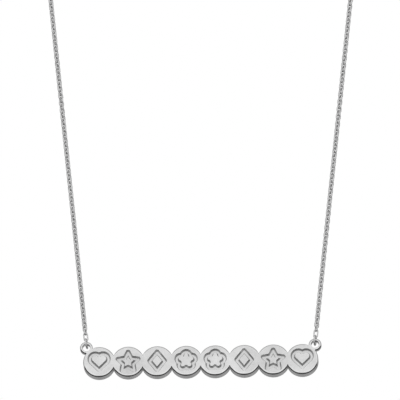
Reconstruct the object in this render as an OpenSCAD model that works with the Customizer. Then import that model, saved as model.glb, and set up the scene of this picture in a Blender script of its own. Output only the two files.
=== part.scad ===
// Nameplate necklace: a bar of overlapping discs, each with a sunken motif,
// hung from a fine cable chain by two jump rings.
// It hangs in the XZ plane with its face towards -Y. The origin is the top of
// the loop, where a neck or a peg holds it.

/* [Nameplate] */
// Number of discs in the row
disc_count = 8; // [4:1:10]
// Diameter of one disc
disc_d = 6.4; // [6:0.1:8]
// How far neighbouring discs run into each other
disc_overlap = 0.6; // [0.3:0.1:1]
// Thickness of the plate
plate_t = 2.2; // [1.6:0.1:2.6]
// Radius of the rounded rim
rim_r = 0.25; // [0.1:0.05:0.35]

/* [Motifs] */
// Height of the field that each motif fills
motif_h = 4.8; // [4.2:0.1:4.9]
// Width of a sunken stroke
stroke_w = 0.9; // [0.6:0.05:1]
// Depth of the sunken strokes
stroke_depth = 0.65; // [0.3:0.05:0.8]

/* [Eyelets] */
// Diameter of the hole
eyelet_hole_d = 1.56; // [1.4:0.02:2]
// Width of the rim round the hole
eyelet_rim = 0.49; // [0.4:0.01:0.7]
// Thickness of the eyelet, flush with the plate's face
eyelet_t = 1.3; // [1.1:0.05:1.6]
// How far the eyelet runs into its disc
eyelet_sink = 0.47; // [0.3:0.01:0.6]
// Angle of the eyelet above the row, at the end disc's centre
eyelet_angle = 50; // [40:1:65]

/* [Rings] */
// Wire of the jump rings
ring_wire = 0.3; // [0.26:0.02:0.36]
// Turn of the jump rings about the vertical
ring_turn = -8; // [-12:1:12]

/* [Chain] */
// Length of the whole loop, measured through the eyelets
loop_length = 457; // [406:1:508]
// Lean of each strand away from the vertical
strand_lean = 5.78; // [4:0.01:7]
// Wire of a chain link
link_wire = 0.34; // [0.26:0.02:0.4]
// Length of a link's straight sides
link_straight = 0.27; // [0.1:0.01:0.6]
// Room on each side of a link's wire inside the next link
link_room = 0.1; // [0.06:0.01:0.2]
// Wire of the long end links
end_link_wire = 0.26; // [0.22:0.02:0.3]
// Length of an end link's straight sides
end_link_straight = 0.9; // [0.6:0.05:1.2]

/* [Clasp] */
// Outer diameter of the clasp's ring
clasp_d = 5.5; // [5:0.1:7]
// Thickness of the clasp's ring
clasp_t = 0.9; // [0.8:0.05:1.2]
// Outer diameter of the lug that the chain hooks into
lug_d = 2; // [1.8:0.1:2.4]

/* [Fit] */
// Gap between two wires that hook into each other
wire_gap = 0.06; // [0.05:0.01:0.1]
// Gap between a jump ring and the eyelet that swings in it
swing_gap = 0.12; // [0.08:0.01:0.15]

/* [Hidden] */
$fn = 48;
overcut = 0.5;
rim_steps = 3;

// Row of discs, centred on x = 0
disc_r = disc_d / 2;
disc_pitch = disc_d - disc_overlap;
row_half = (disc_count - 1) / 2 * disc_pitch;

// The plate's middle lies behind the eyelets' middle, which is at y = 0
plate_back = (plate_t - eyelet_t) / 2;

// Eyelet, seen from the end disc's centre
eyelet_r = eyelet_hole_d / 2 + eyelet_rim;
eyelet_reach = disc_r + eyelet_r - eyelet_sink;
eyelet_x = row_half + eyelet_reach * cos(eyelet_angle);
eyelet_up = eyelet_reach * sin(eyelet_angle);

// The jump ring's centre is the middle of the eyelet's rim, its hole clears the
// corners of that rim, and it leans with its strand
ring_in_r = norm([eyelet_t, eyelet_rim]) / 2 + swing_gap;
ring_mid_r = ring_in_r + ring_wire / 2;
hook_x = eyelet_x + ring_mid_r * sin(strand_lean);

// Chain link, and the longer end link that holds one
link_w = 3 * link_wire + 2 * link_room;
link_l = link_w + link_straight;
end_link_w = link_wire + 2 * wire_gap + 2 * end_link_wire;
end_link_l = end_link_w + end_link_straight;
// From the wire that a link hooks on to the link's centre and to the chain
end_link_at = end_link_l / 2 - end_link_wire - wire_gap - ring_wire / 2;
end_chain_at = end_link_at + end_link_l / 2 + wire_gap;
top_link_at = link_l / 2 - link_wire - wire_gap - ring_wire / 2;
top_chain_at = top_link_at + link_l / 2 + wire_gap;

// Loop: a straight strand on each side, closed by one arc
arc_turn = 90 + strand_lean;
arc_share = arc_turn * PI / 180;
strand_l = (loop_length / 2 - hook_x - hook_x / cos(strand_lean) * arc_share)
         / (1 + tan(strand_lean) * arc_share);
arc_r = (hook_x + strand_l * sin(strand_lean)) / cos(strand_lean);
arc_l = arc_r * arc_share;

// Heights below the origin
hook_z = -arc_r * (1 + sin(strand_lean)) - strand_l * cos(strand_lean);
ring_z = hook_z - ring_mid_r * cos(strand_lean);
eyelet_z = ring_z - eyelet_r + eyelet_rim / 2;
row_z = eyelet_z - eyelet_up;

// Places along the loop at the top, from the origin towards +X
clasp_mid_r = (clasp_d - clasp_t) / 2;
clasp_at = clasp_d / 2 - clasp_t - wire_gap / 2;
lug_mid_r = (lug_d - ring_wire) / 2;
lug_from_clasp = clasp_mid_r + lug_mid_r;
lug_hook_at = clasp_at + lug_from_clasp + lug_mid_r;
end_ring_at = wire_gap / 2 + ring_wire / 2 - ring_mid_r;
end_ring_hook_at = end_ring_at - ring_mid_r;

// Chain tube
tube_sides = 8;
strand_steps = 14;
arc_steps = 24;

// Half of a disc's section: flat faces with a rounded rim
function rim_arc(r, half_t, e) =
    [for (i = [0 : rim_steps])
        let (a = 90 * i / rim_steps) [r - e + e * sin(a), half_t - e + e * cos(a)]];
function reversed(points) = [for (i = [len(points) - 1 : -1 : 0]) points[i]];
function disc_section(r, half_t, e) =
    let (upper = rim_arc(r, half_t, e))
    concat([[0, half_t]], upper,
           [for (p = reversed(upper)) [p[0], -p[1]]], [[0, -half_t]]);

// Point and direction on the right half of the loop, u millimetres up the
// strand from the jump ring
function loop_point(u) =
    u < strand_l
        ? [hook_x + u * sin(strand_lean), hook_z + u * cos(strand_lean)]
        : let (a = arc_turn - (u - strand_l) / arc_r * 180 / PI)
          [arc_r * sin(a), arc_r * (cos(a) - 1)];
function loop_lean(u) =
    u < strand_l ? strand_lean : strand_lean - (u - strand_l) / arc_r * 180 / PI;

// Even stations of a chain's tube
function stations(first, last, steps) =
    [for (i = [0 : steps]) first + (last - first) * i / steps];
function tube_ring(u, side) =
    let (p = loop_point(u), lean = loop_lean(u))
    [for (k = [0 : tube_sides - 1])
        let (a = 360 * (k + 0.5) / tube_sides,
             out = link_w / 2 * cos(a), back = link_w / 2 * sin(a))
        [side * (p[0] + out * cos(lean)), back, p[1] - out * sin(lean)]];
function tube_faces(rings, side) =
    let (n = tube_sides, last = (rings - 1) * n,
         walls = [for (i = [0 : rings - 2], k = [0 : n - 1])
                     let (a = i * n + k, b = i * n + (k + 1) % n)
                     each [[a, a + n, b + n], [a, b + n, b]]],
         ends = [[for (k = [0 : n - 1]) k],
                 [for (k = [n - 1 : -1 : 0]) last + k]],
         faces = concat(walls, ends))
    side > 0 ? faces : [for (f = faces) reversed(f)];

module rounded_disc(r, t) {
    rotate_extrude() polygon(disc_section(r, t / 2, rim_r));
}

// Motifs as filled shapes, on their strokes' middle line
module heart_field(h) {
    lobe_r = h / (1 + 1.5 * sqrt(2));
    translate([0, -h / 2]) {
        rotate(45) square(2 * lobe_r);
        for (side = [-1, 1])
            translate([side * lobe_r / sqrt(2), 1.5 * sqrt(2) * lobe_r]) circle(lobe_r);
    }
}

module star_field(h) {
    tip_r = h / (1 + cos(36));
    polygon([for (i = [0 : 9])
        let (r = i % 2 == 0 ? tip_r : tip_r * 0.5) [r * sin(36 * i), r * cos(36 * i)]]);
}

module diamond_field(h) {
    polygon([[0, h / 2], [h * 0.39, 0], [0, -h / 2], [-h * 0.39, 0]]);
}

module flower_field(h) {
    petal_r = h * 0.21;
    circle(h / 4);
    for (i = [0 : 4]) rotate(90 + 72 * i) translate([h / 2 - petal_r, 0]) circle(petal_r);
}

module motif_field(kind, h) {
    if (kind == 0) heart_field(h * 0.88);
    if (kind == 1) translate([0, -h * 0.04]) star_field(h);
    if (kind == 2) diamond_field(h);
    if (kind == 3) flower_field(h);
}

module motif(kind) {
    difference() {
        offset(r = stroke_w / 2, $fn = 32) motif_field(kind, motif_h - stroke_w);
        offset(r = -stroke_w / 2, $fn = 32) motif_field(kind, motif_h - stroke_w);
    }
}

// Row of discs with an eyelet soldered on each upper corner
module nameplate() {
    color("silver") translate([0, 0, row_z]) rotate([90, 0, 0]) difference() {
        union() {
            for (side = [-1, 1])
                translate([side * eyelet_x, eyelet_up, 0])
                    rounded_disc(eyelet_r, eyelet_t);
            for (i = [0 : disc_count - 1])
                translate([i * disc_pitch - row_half, 0, -plate_back])
                    rounded_disc(disc_r, plate_t);
        }
        for (side = [-1, 1])
            translate([side * eyelet_x, eyelet_up, 0])
                cylinder(d = eyelet_hole_d, h = eyelet_t + 2 * overcut, center = true);
        for (i = [0 : disc_count - 1])
            translate([i * disc_pitch - row_half, 0, eyelet_t / 2 - stroke_depth])
                linear_extrude(stroke_depth + overcut)
                    motif(min(i, disc_count - 1 - i) % 4);
    }
}

module wire_ring(mid_r, wire) {
    rotate_extrude() translate([mid_r, 0]) circle(d = wire);
}

module jump_ring(side) {
    color("silver") translate([side * eyelet_x, 0, ring_z])
        rotate([0, side * strand_lean, 0]) rotate(ring_turn)
            rotate([0, 90, 0]) wire_ring(ring_mid_r, ring_wire);
}

// Long link along X, open towards Z
module chain_link(w, wire, straight) {
    bend_r = (w - wire) / 2;
    for (side = [-1, 1]) {
        translate([side * straight / 2, 0, 0]) rotate(side * 90 - 90)
            rotate([0, 0, -90]) rotate_extrude(angle = 180)
                translate([bend_r, 0]) circle(d = wire);
        translate([-straight / 2, side * bend_r, 0]) rotate([0, 90, 0])
            cylinder(d = wire, h = straight);
    }
}

// Puts its child on the loop at u on one side, with X along the chain and the
// loop's plane seen from Z
module on_loop(u, side) {
    p = loop_point(u);
    translate([side * p[0], 0, p[1]])
        rotate([90, 0, 0]) rotate(90 - side * loop_lean(u)) children();
}

module end_link(side) {
    color("silver") on_loop(end_link_at, side)
        chain_link(end_link_w, end_link_wire, end_link_straight);
}

module top_link(side, hook_at, roll) {
    u = strand_l + arc_l - side * hook_at - top_link_at;
    color("silver") on_loop(u, side) rotate([roll, 0, 0])
        chain_link(link_w, link_wire, link_straight);
}

module chain_tube(side, along) {
    rings = [for (u = along) tube_ring(u, side)];
    color("darkgray")
        polyhedron([for (ring = rings) each ring], tube_faces(len(rings), side));
}

// Straight strand from the end link up, and the bow from there to the top link
module chain(side) {
    chain_tube(side, stations(end_chain_at, strand_l, strand_steps));
}

module chain_bow(side, hook_at) {
    last = strand_l + arc_l - side * hook_at - top_chain_at;
    chain_tube(side, stations(strand_l, last, arc_steps));
}

module end_ring() {
    color("silver") on_loop(strand_l + arc_l + end_ring_at, -1)
        rotate([90, 0, 0]) wire_ring(ring_mid_r, ring_wire);
}

// Plain closed ring with a lug, in the loop's plane
module clasp() {
    color("silver") on_loop(strand_l + arc_l - clasp_at, 1) {
        wire_ring(clasp_mid_r, clasp_t);
        translate([-lug_from_clasp, 0, 0]) wire_ring(lug_mid_r, ring_wire);
    }
}

nameplate();
jump_ring(-1);  // jump_ring_left
jump_ring(1);  // jump_ring_right
end_link(-1);  // end_link_left
end_link(1);  // end_link_right
chain(-1);  // chain_left
chain(1);  // chain_right
chain_bow(-1, end_ring_hook_at);  // chain_bow_left
chain_bow(1, lug_hook_at);  // chain_bow_right
top_link(-1, end_ring_hook_at, 0);  // top_link_left
top_link(1, lug_hook_at, 90);  // top_link_right
end_ring();
clasp();
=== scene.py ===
"""Looks of a nameplate necklace: a plate of overlapping discs on a fine cable chain."""
import math

import bmesh
import bpy
import numpy as np
from mathutils import Matrix, Vector


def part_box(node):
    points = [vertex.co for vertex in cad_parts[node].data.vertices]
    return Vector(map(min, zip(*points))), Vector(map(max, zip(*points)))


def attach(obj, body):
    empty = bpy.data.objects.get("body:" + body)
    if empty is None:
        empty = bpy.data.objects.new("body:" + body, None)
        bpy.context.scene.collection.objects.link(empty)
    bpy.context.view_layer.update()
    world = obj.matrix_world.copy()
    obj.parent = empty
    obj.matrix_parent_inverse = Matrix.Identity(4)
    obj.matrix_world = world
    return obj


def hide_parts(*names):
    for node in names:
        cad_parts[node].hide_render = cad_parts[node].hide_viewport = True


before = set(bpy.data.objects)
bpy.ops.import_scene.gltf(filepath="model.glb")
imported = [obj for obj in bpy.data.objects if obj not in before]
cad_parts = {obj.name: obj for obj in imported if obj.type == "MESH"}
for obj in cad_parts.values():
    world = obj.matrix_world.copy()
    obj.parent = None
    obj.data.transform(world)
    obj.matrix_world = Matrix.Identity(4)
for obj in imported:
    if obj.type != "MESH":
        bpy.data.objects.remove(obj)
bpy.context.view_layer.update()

MM = 0.001

# Plate sizes, with the row's place taken from the frame
DISC_COUNT = 8
DISC_R = 3.2 * MM
DISC_OVERLAP = 0.6 * MM
DISC_PITCH = 2 * DISC_R - DISC_OVERLAP
RIM_R = 0.25 * MM
FRONT_RIM = 0.34 * MM
FRONT_RIM_FLAT = 1.3
RIM_STEPS = 6
ROUND = 2.0
NOTCH_STRETCH = 1.2
NOTCH_REACH = 0.8 * MM
SUPPORT = 0.03 * MM
PLATE_LOW, PLATE_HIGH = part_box("nameplate")
FACE_Y = PLATE_LOW.y
BACK_Y = PLATE_HIGH.y
ROW_Z = PLATE_LOW.z + DISC_R

# Sunken motifs
MOTIF_H = 4.8 * MM
STROKE_W = 0.9 * MM
STROKE_DEPTH = 0.65 * MM
LIP_R = 0.04 * MM
LIP_STEPS = 2
WALL_DRAFT = 0.17 * MM
RECESS_R = 0.06 * MM
RECESS_STEPS = 3
FIELD_H = MOTIF_H - STROKE_W
HEART_H = 0.88 * FIELD_H
STAR_POINTS = 5
STAR_WAIST = 0.5
STAR_LIFT = -0.04 * FIELD_H
DIAMOND_HALF_W = 0.39 * FIELD_H
PETALS = 5
PETAL_R = 0.21 * FIELD_H
FLOWER_MIDDLE_R = FIELD_H / 4
TURN_STEPS = 144
FIELD_START = 0.02 * MM
FIELD_STEPS = 240
MOTIFS = ("heart", "star", "diamond", "flower")

# Jump rings and eyelets
RING_WIRE = 0.3 * MM
EYELET_HOLE_R = 0.78 * MM
EYELET_RIM = 0.49 * MM
EYELET_R = EYELET_HOLE_R + EYELET_RIM
EYELET_HALF_T = -FACE_Y
HOLE_EDGE_R = 0.14 * MM
EYELET_STEPS = 72
SOLDER = 0.002 * MM
RING_LOW, RING_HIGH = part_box("jump_ring_right")
EYELET_X = (RING_LOW.x + RING_HIGH.x) / 2
EYELET_Z = PLATE_HIGH.z - EYELET_R

# Chain links and the loop that they follow
STRAND_LEAN = math.radians(5.78)
LINK_WIRE = 0.34 * MM
LINK_STRAIGHT = 0.27 * MM
LINK_ROOM = 0.1 * MM
WIRE_GAP = 0.06 * MM
LINK_W = 3 * LINK_WIRE + 2 * LINK_ROOM
LINK_L = LINK_W + LINK_STRAIGHT
END_LINK_WIRE = 0.26 * MM
END_LINK_STRAIGHT = 0.9 * MM
END_LINK_L = LINK_WIRE + 2 * WIRE_GAP + 2 * END_LINK_WIRE + END_LINK_STRAIGHT
LINK_PITCH = 0.8 * MM
LINK_SIDES = 12
LINK_WIRE_SIDES = 6
ROLL_REST = math.radians(45)
ROLL_EASE = 2
ROLL_SWAY = math.radians(9)
SWAY_WAVES = (31, 53, 97)
HOOK_UP = (RING_HIGH.z - RING_LOW.z - RING_WIRE) / 2
HOOK_X = EYELET_X + HOOK_UP * math.tan(STRAND_LEAN)
HOOK_Z = RING_HIGH.z - RING_WIRE / 2
ARC_R = ((HOOK_X * math.cos(STRAND_LEAN) - HOOK_Z * math.sin(STRAND_LEAN))
         / (1 + math.sin(STRAND_LEAN)))
STRAND_L = (ARC_R * math.cos(STRAND_LEAN) - HOOK_X) / math.sin(STRAND_LEAN)
LOOP_HALF = STRAND_L + ARC_R * (math.pi / 2 + STRAND_LEAN)
END_LINK_TOP_U = END_LINK_L - 2 * END_LINK_WIRE - WIRE_GAP - RING_WIRE / 2
CHAIN_START_U = END_LINK_TOP_U - LINK_L / 2 + LINK_WIRE

# Each strand's name, side, quarter turns of its top link and start of its links' sway
STRANDS = (("left", -1, 0, 0.7), ("right", 1, 1, 2.3))

# Smallest lengths and shares that count, the part of a normal along Y on a flat and on an
# upright face, and the turn past which an edge is sharp
TINY = 1e-9
PARALLEL = 1e-12
EDGE_ROOM = 1e-6
MERGE = 1e-7
DISC_MERGE = 2e-6
FLAT_Y = 0.998
UPRIGHT_Y = 0.01
SHARP_TURN = math.radians(35)
LINK_SHARP_TURN = math.radians(80)

# Camera, matched to the photograph's 400 by 400 frame
PHOTO_SIZE = 400
PHOTO_SCALE = 5.0077
ROW_PX = Vector((200.6, 360.05))
CAMERA_AZIMUTH = math.radians(2.45)
CAMERA_ELEVATION = math.radians(-21.2)
LENS = 1000
SENSOR = 36
CLIP_NEAR = 0.05
CLIP_FAR = 60

# Floor and light, with the tent's greys from straight down at -1 to straight up at 1,
# and the belt's from straight ahead at -1 to straight behind at 1
FLOOR_Z = -1.25
FLOOR_SIZE = 4.6
FLOOR_GREY = 0.85
FLOOR_ROUGHNESS = 0.9
FRONT_GREYS = ((-1, 0.02), (-0.92, 0.02), (-0.78, 0.78), (-0.3, 0.94),
               (0.3, 0.76), (0.6, 0.9), (0.8, 0.84), (1, 0.48))
BEHIND_GREYS = ((-1, 0.02), (-0.66, 0.02), (-0.52, 0.28), (-0.36, 0.43), (-0.1, 0.43),
                (0.1, 0.3), (0.4, 0.32), (0.8, 0.36), (1, 0.5))
FRONT_END_Y = -0.3
BEHIND_START_Y = 0.1
BELT_SHARES = ((-1, 0), (-0.5, 0), (-0.3, 1), (0.35, 1), (0.65, 0), (1, 0))
BELT_TOP_Z = 0.12
BELT_GREY = 0.04
KEY_TOWARD = (0.1, 0.6, -0.8)
KEY_SPREAD = math.radians(60)
KEY_STRENGTH = 1.8

# Grain of the silver
EVEN = (1, 1, 1)
LONG_STREAKS = (0.06, 1, 1)
WALL_STREAKS = (1, 0.08, 1)
STREAK_SCALE = 9000
STREAK_DETAIL = 4.0
STREAK_FINE = 0.5
CLOUD_SCALE = 110
CLOUD_DETAIL = 6.0
CLOUD_FINE = 0.8
NOISE_LOW = 0.3
NOISE_HIGH = 0.7
RELIEF_DEPTH = 0.004 * MM


# Materials
def new_material(name):
    material = bpy.data.materials.new(name)
    material.use_nodes = True
    return material, material.node_tree.nodes, material.node_tree.links


def grain(nodes, links, stretch, scale, detail=STREAK_DETAIL, fine=STREAK_FINE):
    """Noise on Object coordinates, stretched into streaks, with more fine grain as fine
    rises."""
    place = nodes.new("ShaderNodeTexCoord")
    mapping = nodes.new("ShaderNodeMapping")
    mapping.inputs["Scale"].default_value = stretch
    noise = nodes.new("ShaderNodeTexNoise")
    noise.inputs["Scale"].default_value = scale
    noise.inputs["Detail"].default_value = detail
    noise.inputs["Roughness"].default_value = fine
    links.new(place.outputs["Object"], mapping.inputs["Vector"])
    links.new(mapping.outputs["Vector"], noise.inputs["Vector"])
    return noise


def ramp_between(nodes, links, value, low, high, start=NOISE_LOW, end=NOISE_HIGH):
    """A value or grey that runs from low to high as another runs from start to end."""
    span = nodes.new("ShaderNodeMapRange")
    span.inputs["From Min"].default_value = start
    span.inputs["From Max"].default_value = end
    span.inputs["To Min"].default_value = low
    span.inputs["To Max"].default_value = high
    links.new(value, span.inputs["Value"])
    return span


def silver(name, tone, roughness, spread=0.05, streak=EVEN, streak_scale=STREAK_SCALE,
           relief=0.1, cloud=0.03):
    """Silver with streaks or grain in its gloss and relief and soft clouds in its tone."""
    material, nodes, links = new_material(name)
    shader = nodes["Principled BSDF"]
    shader.inputs["Metallic"].default_value = 1.0
    streaks = grain(nodes, links, streak, streak_scale)
    gloss = ramp_between(nodes, links, streaks.outputs["Fac"],
                         roughness - spread, roughness + spread)
    links.new(gloss.outputs["Result"], shader.inputs["Roughness"])
    clouds = grain(nodes, links, EVEN, CLOUD_SCALE, CLOUD_DETAIL, CLOUD_FINE)
    level = ramp_between(nodes, links, clouds.outputs["Fac"], tone - cloud, tone + cloud)
    links.new(level.outputs["Result"], shader.inputs["Base Color"])
    bump = nodes.new("ShaderNodeBump")
    bump.inputs["Strength"].default_value = relief
    bump.inputs["Distance"].default_value = RELIEF_DEPTH
    links.new(streaks.outputs["Fac"], bump.inputs["Height"])
    links.new(bump.outputs["Normal"], shader.inputs["Normal"])
    return material


BRUSHED = silver("silver_brushed_face", tone=0.84, roughness=0.34, streak=LONG_STREAKS,
                 relief=0.3, cloud=0.14)
RECESS = silver("silver_satin_recess", tone=0.83, roughness=0.36, streak_scale=14000,
                relief=0.3, cloud=0.14)
# Recess walls: silver with its tone dropped to 0.45, painted shade for the sunken strokes'
# dark walls
SHADED_RECESS_WALL = silver("silver_recess_wall_painted_shade", tone=0.45, roughness=0.2, spread=0.03)
RIM = silver("silver_polished_rim", tone=0.92, roughness=0.1, spread=0.02)
# Side walls: streaked satin silver, with its tone set below the face's as painted shade
SIDE_SATIN_SHADED = silver("silver_side_wall_satin_painted_shade", tone=0.7, roughness=0.25, streak=WALL_STREAKS, relief=0.2)
BACK = silver("silver_plain_back", tone=0.84, roughness=0.32, streak=LONG_STREAKS,
              relief=0.3)
# Chain wire: silver with its tone set below the plate's as painted shade between the links
SHADED_CHAIN_WIRE = silver("silver_chain_wire_painted_shade", tone=0.76, roughness=0.38, streak_scale=6000)
POLISHED = silver("silver_polished_wire", tone=0.8, roughness=0.36, streak_scale=6000)
PLATE_MATERIALS = (BRUSHED, RECESS, SHADED_RECESS_WALL, RIM, SIDE_SATIN_SHADED, BACK)


# Meshes
def finish_mesh(bm, name, materials, sharp_turn=SHARP_TURN):
    """Makes the object, with smooth shading and sharp edges past a turn."""
    bmesh.ops.recalc_face_normals(bm, faces=bm.faces)
    mesh = bpy.data.meshes.new(name)
    bm.to_mesh(mesh)
    bm.free()
    for material in materials:
        mesh.materials.append(material)
    mesh.shade_smooth()
    mesh.set_sharp_from_angle(angle=sharp_turn)
    piece = bpy.data.objects.new(name, mesh)
    bpy.context.scene.collection.objects.link(piece)
    return piece


# Motif outlines, as the distance from the motif's middle in each direction
def circle_reach(angle, x, z, radius):
    """Distance to the far side of a circle, or 0 where the direction misses it."""
    along = x * math.cos(angle) + z * math.sin(angle)
    inside = along * along - x * x - z * z + radius * radius
    return along + math.sqrt(inside) if inside >= 0 else 0.0


def polygon_reach(angle, corners):
    """Distance to a polygon's farthest edge that the direction meets."""
    way = Vector((math.cos(angle), math.sin(angle)))
    reach = 0.0
    for a, b in zip(corners, corners[1:] + corners[:1]):
        edge = b - a
        cross = way.x * edge.y - way.y * edge.x
        if abs(cross) < PARALLEL:
            continue
        far = (a.x * edge.y - a.y * edge.x) / cross
        share = (a.x * way.y - a.y * way.x) / cross
        if far > 0 and -EDGE_ROOM <= share <= 1 + EDGE_ROOM:
            reach = max(reach, far)
    return reach


def heart_reach(angle):
    """A square on its corner, with a round lobe on each upper side."""
    lobe = HEART_H / (1 + 1.5 * math.sqrt(2))
    half_w = math.sqrt(2) * lobe
    low = -HEART_H / 2
    corners = [Vector((0, low)), Vector((half_w, low + half_w)),
               Vector((0, low + 2 * half_w)), Vector((-half_w, low + half_w))]
    return max(polygon_reach(angle, corners),
               circle_reach(angle, half_w / 2, low + 1.5 * half_w, lobe),
               circle_reach(angle, -half_w / 2, low + 1.5 * half_w, lobe))


def star_reach(angle):
    tip = FIELD_H / (1 + math.cos(math.pi / STAR_POINTS))
    corners = []
    for i in range(2 * STAR_POINTS):
        turn = math.pi / 2 + i * math.pi / STAR_POINTS
        radius = tip if i % 2 == 0 else tip * STAR_WAIST
        corners.append(Vector((radius * math.cos(turn), radius * math.sin(turn))))
    return polygon_reach(angle, corners)


def diamond_reach(angle):
    half_h = FIELD_H / 2
    return polygon_reach(angle, [Vector((DIAMOND_HALF_W, 0)), Vector((0, half_h)),
                                 Vector((-DIAMOND_HALF_W, 0)), Vector((0, -half_h))])


def flower_reach(angle):
    out = FIELD_H / 2 - PETAL_R
    reach = FLOWER_MIDDLE_R
    for i in range(PETALS):
        turn = math.pi / 2 + i * 2 * math.pi / PETALS
        reach = max(reach, circle_reach(angle, out * math.cos(turn),
                                        out * math.sin(turn), PETAL_R))
    return reach


REACHES = {"heart": heart_reach, "star": star_reach,
           "diamond": diamond_reach, "flower": flower_reach}
MOTIF_LIFT = {"heart": 0.0, "star": STAR_LIFT, "diamond": 0.0, "flower": 0.0}
RING_ANGLES = [2 * math.pi * i / TURN_STEPS for i in range(TURN_STEPS)]


class Outline:
    """A motif's outline, and lines at even distances inside and outside it."""

    def __init__(self, kind):
        self.lift = MOTIF_LIFT[kind]
        reach = REACHES[kind]
        turns = np.radians(np.arange(360))
        far = np.array([reach(a) for a in turns])
        points = np.stack([far * np.cos(turns), far * np.sin(turns)], 1)
        self.radii = np.linspace(FIELD_START, DISC_R, FIELD_STEPS)
        self.fields = [self.distances(points, a, reach(a)) for a in RING_ANGLES]

    def distances(self, points, angle, edge):
        """Signed distance to the outline along one direction, negative inside."""
        way = np.array([math.cos(angle), math.sin(angle)])
        spots = self.radii[:, None] * way
        start = points[None]
        step = np.roll(points, -1, 0)[None] - start
        offset = spots[:, None] - start
        share = np.clip((offset * step).sum(2) / (step * step).sum(2), 0, 1)
        gap = np.linalg.norm(offset - share[..., None] * step, axis=2).min(1)
        return np.where(self.radii < edge, -gap, gap)

    def line(self, level):
        """The line that lies level metres outside the outline, one radius a direction."""
        found = []
        for field in self.fields:
            k = int(np.nonzero(field < level)[0][-1])
            low, high = field[k], field[k + 1]
            share = (level - low) / (high - low)
            found.append(self.radii[k] + share * (self.radii[k + 1] - self.radii[k]))
        return found


def quarter(steps, flat=ROUND):
    """Sine and cosine shares of a quarter round, without its start, flatter below 2."""
    turns = [math.pi / 2 * k / steps for k in range(1, steps)]
    return [(math.sin(t) ** (2 / flat), math.cos(t) ** (2 / flat)) for t in turns] + [(1, 0)]


def whole_quarter(steps, flat=ROUND):
    return [(0.0, 1.0)] + quarter(steps, flat)


def smooth_step(share):
    share = min(max(share, 0.0), 1.0)
    return share * share * (3 - 2 * share)


def plate_gap(x, z, circles):
    """Distance from a point to the outline of a union of circles, stretched beside the
    notches between two circles, where the rim is narrow."""
    def hidden(px, pz, own):
        return any(math.hypot(px - cx, pz - cz) < r - TINY
                   for k, (cx, cz, r) in enumerate(circles) if k != own)

    gaps = []
    notches = []
    for k, (cx, cz, r) in enumerate(circles):
        far = max(math.hypot(x - cx, z - cz), TINY)
        if not hidden(cx + (x - cx) * r / far, cz + (z - cz) * r / far, k):
            gaps.append(abs(r - far))
        for ox, oz, o in circles[:k]:
            apart = math.hypot(ox - cx, oz - cz)
            if apart < r + o:
                share = (apart + (r * r - o * o) / apart) / 2
                rise = math.sqrt(r * r - share * share)
                ux, uz = (ox - cx) / apart, (oz - cz) / apart
                notches += [math.hypot(x - cx - ux * share + uz * h,
                                       z - cz - uz * share - ux * h) for h in (-rise, rise)]
    nearest = min(notches)
    return min(gaps + notches) * (1 + NOTCH_STRETCH * smooth_step(1 - nearest / NOTCH_REACH))


def rim_drop(gap, size, flat):
    """How far a rounded rim lies below the face, at a distance inside the outline."""
    share = min(max(1 - gap / size, 0.0), 1.0)
    return size * (1 - (1 - share ** flat) ** (1 / flat))


def disc_rings(outline, circles):
    """Rings of a disc from its back to the motif's island: radii, depths, lift, material."""
    def circle(radius, depth, material):
        return [radius] * TURN_STEPS, [depth] * TURN_STEPS, 0.0, material

    def brim(radius, level, size, flat):
        gaps = [plate_gap(radius * math.cos(a), radius * math.sin(a), circles)
                for a in RING_ANGLES]
        way = 1 if level < 0 else -1
        depths = [level + way * rim_drop(gap, size, flat) for gap in gaps]
        return [radius] * TURN_STEPS, depths, 0.0, RIM

    def line(level, depth, material):
        return outline.line(level), [depth] * TURN_STEPS, outline.lift, material

    back_edge = DISC_R - RIM_R
    face_edge = DISC_R - FRONT_RIM
    rings = [circle(back_edge - SUPPORT, BACK_Y, BACK)]
    rings += [brim(back_edge + RIM_R * s, BACK_Y, RIM_R, ROUND)
              for s, c in whole_quarter(RIM_STEPS)]
    # The side wall takes the satin silver darkened as painted shade
    rings += [circle(DISC_R, BACK_Y - RIM_R - SUPPORT, SIDE_SATIN_SHADED),
              circle(DISC_R, FACE_Y + FRONT_RIM + SUPPORT, SIDE_SATIN_SHADED)]
    rings += [brim(face_edge + FRONT_RIM * c, FACE_Y, FRONT_RIM, FRONT_RIM_FLAT)
              for s, c in whole_quarter(RIM_STEPS, FRONT_RIM_FLAT)]
    rings.append(circle(face_edge - SUPPORT, FACE_Y, BRUSHED))
    edge = STROKE_W / 2
    foot = edge - WALL_DRAFT
    recess_y = FACE_Y + STROKE_DEPTH
    lip = quarter(LIP_STEPS)
    bend = quarter(RECESS_STEPS)
    rings += [line(edge + LIP_R + SUPPORT, FACE_Y, BRUSHED),
              line(edge + LIP_R, FACE_Y, BRUSHED)]
    rings += [line(edge + LIP_R * (1 - s), FACE_Y + LIP_R * (1 - c), RIM) for s, c in lip]
    # The walls and bends of the recess take the dark silver, painted shade
    rings.append(line(foot, recess_y - RECESS_R, SHADED_RECESS_WALL))
    rings += [line(foot - RECESS_R * (1 - c), recess_y - RECESS_R * (1 - s), SHADED_RECESS_WALL)
              for s, c in bend]
    rings.append(line(RECESS_R - foot, recess_y, RECESS))
    rings += [line(RECESS_R * (1 - s) - foot, recess_y - RECESS_R * (1 - c), SHADED_RECESS_WALL)
              for s, c in bend]
    rings.append(line(-edge, FACE_Y + LIP_R, SHADED_RECESS_WALL))
    rings += [line(-edge - LIP_R * (1 - c), FACE_Y + LIP_R * (1 - s), RIM) for s, c in lip]
    rings.append(line(-edge - LIP_R - SUPPORT, FACE_Y, BRUSHED))
    return rings


def place_ring(verts, ring):
    radii, depths, lift, _ = ring
    for vert, radius, depth, angle in zip(verts, radii, depths, RING_ANGLES):
        vert.co = (radius * math.cos(angle), depth, radius * math.sin(angle) + lift)


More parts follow.
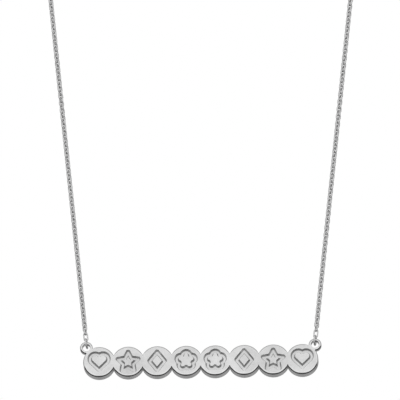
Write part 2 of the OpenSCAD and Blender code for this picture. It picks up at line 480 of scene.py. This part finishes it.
def polish_slopes(bm):
    """Leaves the flat parts of the rim brushed."""
    bm.normal_update()
    for face in bm.faces:
        if abs(face.normal.y) > FLAT_Y and face.material_index == PLATE_MATERIALS.index(RIM):
            front = face.calc_center_median().y < 0
            face.material_index = PLATE_MATERIALS.index(BRUSHED if front else BACK)


def disc_mesh(outline, circles, cut_left, cut_right):
    """One disc round the origin, extruded ring by ring and cut flat at its neighbours."""
    bm = bmesh.new()
    rings = disc_rings(outline, circles)
    start = bmesh.ops.create_circle(bm, cap_ends=True, radius=DISC_R, segments=TURN_STEPS)
    verts = start["verts"]
    place_ring(verts, rings[0])
    bm.faces.ensure_lookup_table()
    bm.faces[0].material_index = PLATE_MATERIALS.index(BACK)
    edges = list(bm.edges)
    for ring in rings[1:]:
        material = ring[3]
        grown = bmesh.ops.extrude_edge_only(bm, edges=edges)["geom"]
        edges = [e for e in grown if isinstance(e, bmesh.types.BMEdge)]
        for face in (f for f in grown if isinstance(f, bmesh.types.BMFace)):
            face.material_index = PLATE_MATERIALS.index(material)
        new = {v for e in edges for v in e.verts}
        pairs = {}
        for vert in new:
            mates = [e.other_vert(vert) for e in vert.link_edges]
            pairs[next(m for m in mates if m not in new)] = vert
        verts = [pairs[v] for v in verts]
        place_ring(verts, ring)
    island = bmesh.ops.contextual_create(bm, geom=edges)["faces"]
    island[0].material_index = PLATE_MATERIALS.index(BRUSHED)
    polish_slopes(bm)
    for side, cut in ((-1, cut_left), (1, cut_right)):
        if cut:
            bmesh.ops.bisect_plane(bm, geom=bm.verts[:] + bm.edges[:] + bm.faces[:],
                                   plane_co=(side * DISC_PITCH / 2, 0, 0),
                                   plane_no=(side, 0, 0), clear_outer=True)
    return bm


def add_mesh(target, source, shift):
    """Adds a copy of a bmesh, moved by shift, to another one."""
    mesh = bpy.data.meshes.new("scratch")
    source.to_mesh(mesh)
    source.free()
    mesh.transform(Matrix.Translation(shift))
    target.from_mesh(mesh)
    bpy.data.meshes.remove(mesh)


def eyelet(side, circles):
    """Ring with rounded edges, soldered on the plate's upper corner."""
    bm = bmesh.new()
    turn = whole_quarter(RIM_STEPS)
    hole = [(EYELET_HOLE_R + HOLE_EDGE_R * (1 - s), EYELET_HALF_T - HOLE_EDGE_R * (1 - c))
            for s, c in turn]
    back = [(EYELET_R - RIM_R * (1 - s), EYELET_HALF_T - RIM_R * (1 - c)) for s, c in turn]
    # The front stays at depth 0 until it takes its rim from the whole plate's outline
    front = [(EYELET_R - FRONT_RIM * (1 - c), 0)
             for s, c in whole_quarter(RIM_STEPS, FRONT_RIM_FLAT)]
    loop = hole[::-1] + back + front + [(r, -y) for r, y in hole]
    verts = [bm.verts.new((r, y, 0)) for r, y in loop]
    edges = [bm.edges.new((a, b)) for a, b in zip(verts, verts[1:] + verts[:1])]
    bmesh.ops.spin(bm, geom=verts + edges, cent=(0, 0, 0), axis=(0, 1, 0),
                   angle=2 * math.pi, steps=EYELET_STEPS, use_merge=True)
    bmesh.ops.remove_doubles(bm, verts=bm.verts, dist=MERGE)
    bmesh.ops.translate(bm, verts=bm.verts, vec=(side * EYELET_X, 0, EYELET_Z))
    for vert in bm.verts:
        if vert.co.y == 0:
            gap = plate_gap(vert.co.x, vert.co.z, circles)
            vert.co.y = FACE_Y + rim_drop(gap, FRONT_RIM, FRONT_RIM_FLAT) - SOLDER
        elif vert.co.y == -EYELET_HALF_T:
            vert.co.y -= SOLDER
    for face in bm.faces:
        # Upright faces take the side wall's satin silver, darkened as painted shade
        kind = SIDE_SATIN_SHADED if abs(face.normal.y) < UPRIGHT_Y else RIM
        face.material_index = PLATE_MATERIALS.index(kind)
    return finish_mesh(bm, "eyelet_scratch", PLATE_MATERIALS)


def join_eyelet(plate, ring):
    """Fuses an eyelet to the plate."""
    union = plate.modifiers.new("solder", "BOOLEAN")
    union.operation = "UNION"
    union.solver = "EXACT"
    union.object = ring
    depsgraph = bpy.context.evaluated_depsgraph_get()
    fused = bpy.data.meshes.new_from_object(plate.evaluated_get(depsgraph))
    plate.modifiers.clear()
    plate.data = fused
    bpy.data.objects.remove(ring)


def nameplate():
    outlines = {kind: Outline(kind) for kind in MOTIFS}
    middles = [(i - (DISC_COUNT - 1) / 2) * DISC_PITCH for i in range(DISC_COUNT)]
    circles = [(x, ROW_Z, DISC_R) for x in middles]
    circles += [(side * EYELET_X, EYELET_Z, EYELET_R) for side in (-1, 1)]
    bm = bmesh.new()
    for i, x in enumerate(middles):
        near = [(cx - x, cz - ROW_Z, r) for cx, cz, r in circles
                if abs(cx - x) < DISC_R + DISC_PITCH / 2]
        kind = MOTIFS[min(i, DISC_COUNT - 1 - i) % len(MOTIFS)]
        disc = disc_mesh(outlines[kind], near, i > 0, i < DISC_COUNT - 1)
        add_mesh(bm, disc, (x, 0, ROW_Z))
    bmesh.ops.remove_doubles(bm, verts=bm.verts, dist=DISC_MERGE)
    plate = finish_mesh(bm, "nameplate_discs", PLATE_MATERIALS)
    for side in (-1, 1):
        join_eyelet(plate, eyelet(side, circles))
    plate.data.set_sharp_from_angle(angle=SHARP_TURN)
    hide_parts("nameplate")
    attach(plate, "plate")


# Chain
def loop_point(u):
    """Point on the loop's right half, u metres up from the jump ring's wire."""
    if u < STRAND_L:
        return Vector((HOOK_X + u * math.sin(STRAND_LEAN), 0,
                       HOOK_Z + u * math.cos(STRAND_LEAN)))
    turn = loop_lean(u) + math.pi / 2
    return Vector((ARC_R * math.sin(turn), 0, ARC_R * (math.cos(turn) - 1)))


def loop_lean(u):
    """Lean of the loop from the vertical at u, outwards."""
    return STRAND_LEAN - max(0.0, u - STRAND_L) / ARC_R


def link_mesh():
    """One oval link along X in the XY plane."""
    bm = bmesh.new()
    wire = bmesh.ops.create_circle(bm, radius=LINK_WIRE / 2, segments=LINK_WIRE_SIDES)
    bmesh.ops.rotate(bm, verts=wire["verts"], matrix=Matrix.Rotation(math.pi / 2, 3, "X"))
    bmesh.ops.translate(bm, verts=wire["verts"], vec=((LINK_W - LINK_WIRE) / 2, 0, 0))
    bmesh.ops.rotate(bm, verts=wire["verts"],
                     matrix=Matrix.Rotation(math.pi / LINK_SIDES, 3, "Z"))
    bmesh.ops.spin(bm, geom=bm.verts[:] + bm.edges[:], axis=(0, 0, 1),
                   angle=2 * math.pi, steps=LINK_SIDES, use_merge=True)
    bmesh.ops.remove_doubles(bm, verts=bm.verts, dist=MERGE)
    for side in (-1, 1):
        half = [v for v in bm.verts if v.co.x * side > 0]
        bmesh.ops.translate(bm, verts=half, vec=(side * LINK_STRAIGHT / 2, 0, 0))
    bmesh.ops.recalc_face_normals(bm, faces=bm.faces)
    mesh = bpy.data.meshes.new("link")
    bm.to_mesh(mesh)
    bm.free()
    return mesh


def roll_sway(share, phase):
    """Slow uneven turn of the links about the chain, none at its two ends."""
    wave = sum(math.sin(pace * share + k * phase)
               for k, pace in enumerate(SWAY_WAVES, 1)) / len(SWAY_WAVES)
    return ROLL_SWAY * wave * math.sin(math.pi * share)


def chain(name, side, top_link_u, top_roll, phase):
    """Interlocking links from the end link to the top link of one strand."""
    link = link_mesh()
    count = round((top_link_u - CHAIN_START_U) / LINK_PITCH)
    spare = (top_roll - count) % 2 * math.pi / 2
    bm = bmesh.new()
    for i in range(1, count):
        share = i / count
        u = CHAIN_START_U + share * (top_link_u - CHAIN_START_U)
        start, end = (smooth_step(k / ROLL_EASE) for k in (i, count - i))
        twist = ROLL_REST * start + (spare - ROLL_REST) * (1 - end)
        roll = i * math.pi / 2 + twist + roll_sway(share, phase)
        lean = loop_lean(u)
        place = loop_point(u)
        along = Matrix.Rotation(lean - math.pi / 2, 4, "Y")
        mirror = Matrix.Scale(side, 4, (1, 0, 0))
        stand = Matrix.Rotation(math.pi / 2 + roll, 4, "X")
        first = len(bm.verts)
        bm.from_mesh(link)
        bm.verts.ensure_lookup_table()
        move = mirror @ Matrix.Translation(place) @ along @ stand
        bmesh.ops.transform(bm, matrix=move, verts=bm.verts[first:])
    bpy.data.meshes.remove(link)
    strand = finish_mesh(bm, name, [SHADED_CHAIN_WIRE], LINK_SHARP_TURN)
    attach(strand, "loop")
    return strand


def top_link_distance(node, side):
    """Place of a top link's middle along its half of the loop."""
    low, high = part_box(node)
    middle = side * (low.x + high.x) / 2
    return LOOP_HALF - ARC_R * math.asin(middle / ARC_R)


def chains():
    for name, side, top_roll, phase in STRANDS:
        top = top_link_distance("top_link_" + name, side)
        links = chain("chain_links_" + name, side, top, top_roll, phase)
        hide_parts("chain_" + name, "chain_bow_" + name)


def findings():
    """Finishes the rings, the end links and the clasp, which keep their solids."""
    for node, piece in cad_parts.items():
        # Links take the chain wire's darker silver, painted shade; the other parts take
        # polished silver
        material = SHADED_CHAIN_WIRE if "link" in node else POLISHED
        piece.data.materials.clear()
        piece.data.materials.append(material)


# Stage
def camera():
    """Long lens at the photograph's angle, framed on the row of discs."""
    azimuth, elevation = CAMERA_AZIMUTH, CAMERA_ELEVATION
    back = Vector((math.sin(azimuth) * math.cos(elevation),
                   -math.cos(azimuth) * math.cos(elevation), math.sin(elevation)))
    right = Vector((math.cos(azimuth), math.sin(azimuth), 0))
    up = back.cross(right)
    offset = (ROW_PX - Vector((PHOTO_SIZE / 2, PHOTO_SIZE / 2))) / PHOTO_SCALE * MM
    target = Vector((0, FACE_Y, ROW_Z)) - right * offset.x + up * offset.y
    distance = PHOTO_SIZE / PHOTO_SCALE * MM * LENS / SENSOR
    data = bpy.data.cameras.new("camera")
    data.lens = LENS
    data.sensor_width = SENSOR
    data.clip_start = CLIP_NEAR
    data.clip_end = CLIP_FAR
    view = bpy.data.objects.new("camera", data)
    view.matrix_world = Matrix.Translation(target + back * distance) @ Matrix(
        (right, up, back)).transposed().to_4x4()
    bpy.context.scene.collection.objects.link(view)
    bpy.context.scene.camera = view


def floor():
    bm = bmesh.new()
    bmesh.ops.create_grid(bm, x_segments=1, y_segments=1, size=FLOOR_SIZE / 2)
    bmesh.ops.translate(bm, verts=bm.verts, vec=(0, 0, FLOOR_Z))
    material, nodes, _ = new_material("pale_floor")
    shader = nodes["Principled BSDF"]
    shader.inputs["Base Color"].default_value = (FLOOR_GREY, FLOOR_GREY, FLOOR_GREY, 1)
    shader.inputs["Roughness"].default_value = FLOOR_ROUGHNESS
    ground = finish_mesh(bm, "floor", [material])
    ground.visible_glossy = False


def level_ramp(nodes, links, height, stops):
    """Greys at levels from -1 to 1, with height running from 0 to 1 between them."""
    ramp = nodes.new("ShaderNodeValToRGB")
    while len(ramp.color_ramp.elements) < len(stops):
        ramp.color_ramp.elements.new(0.5)
    for element, (level, grey) in zip(ramp.color_ramp.elements, stops):
        element.position = (level + 1) / 2
        element.color = (grey, grey, grey, 1)
    links.new(height, ramp.inputs["Fac"])
    return ramp.outputs["Color"]


def tent_colour(nodes, links, parts):
    """A pale light tent: bright in front and above, dim behind and dark below."""
    height = ramp_between(nodes, links, parts.outputs["Z"], 0, 1, -1, 1).outputs["Result"]
    front = level_ramp(nodes, links, height, FRONT_GREYS)
    behind = level_ramp(nodes, links, height, BEHIND_GREYS)
    depth = ramp_between(nodes, links, parts.outputs["Y"], 0, 1, FRONT_END_Y, BEHIND_START_Y)
    tent = nodes.new("ShaderNodeMix")
    tent.data_type = "RGBA"
    links.new(depth.outputs["Result"], tent.inputs["Factor"])
    links.new(front, tent.inputs["A"])
    links.new(behind, tent.inputs["B"])
    return tent.outputs["Result"]


def belted(nodes, links, parts, tent):
    """The tent with a dark belt across it under the necklace."""
    depth = ramp_between(nodes, links, parts.outputs["Y"], 0, 1, -1, 1).outputs["Result"]
    belt = level_ramp(nodes, links, depth, BELT_SHARES)
    low = ramp_between(nodes, links, parts.outputs["Z"], 1, 0, -BELT_TOP_Z, BELT_TOP_Z)
    shade = nodes.new("ShaderNodeMath")
    shade.operation = "MULTIPLY"
    links.new(belt, shade.inputs[0])
    links.new(low.outputs["Result"], shade.inputs[1])
    room = nodes.new("ShaderNodeMix")
    room.data_type = "RGBA"
    links.new(shade.outputs["Value"], room.inputs["Factor"])
    links.new(tent, room.inputs["A"])
    room.inputs["B"].default_value = (BELT_GREY, BELT_GREY, BELT_GREY, 1)
    return room.outputs["Result"]


def studio():
    """The belted tent round the scene, where the camera itself sees plain white."""
    world = bpy.data.worlds.new("studio")
    world.use_nodes = True
    bpy.context.scene.world = world
    nodes, links = world.node_tree.nodes, world.node_tree.links
    place = nodes.new("ShaderNodeTexCoord")
    parts = nodes.new("ShaderNodeSeparateXYZ")
    links.new(place.outputs["Generated"], parts.inputs["Vector"])
    room = belted(nodes, links, parts, tent_colour(nodes, links, parts))
    links.new(room, nodes["Background"].inputs["Color"])
    plain = nodes.new("ShaderNodeBackground")
    plain.inputs["Color"].default_value = (1, 1, 1, 1)
    path = nodes.new("ShaderNodeLightPath")
    choose = nodes.new("ShaderNodeMixShader")
    links.new(path.outputs["Is Camera Ray"], choose.inputs["Fac"])
    links.new(nodes["Background"].outputs["Background"], choose.inputs[1])
    links.new(plain.outputs["Background"], choose.inputs[2])
    links.new(choose.outputs["Shader"], nodes["World Output"].inputs["Surface"])


def soft_light(name, toward, spread, strength):
    """Soft light for the floor, which the polished metal doesn't mirror."""
    data = bpy.data.lights.new(name, "SUN")
    data.angle = spread
    data.energy = strength
    light = bpy.data.objects.new(name, data)
    light.visible_glossy = False
    light.rotation_euler = Vector(toward).to_track_quat("-Z", "Y").to_euler()
    bpy.context.scene.collection.objects.link(light)


nameplate()
chains()
findings()
camera()
studio()
floor()
soft_light("key_light", KEY_TOWARD, KEY_SPREAD, KEY_STRENGTH)
bpy.context.scene.view_settings.view_transform = "Standard"
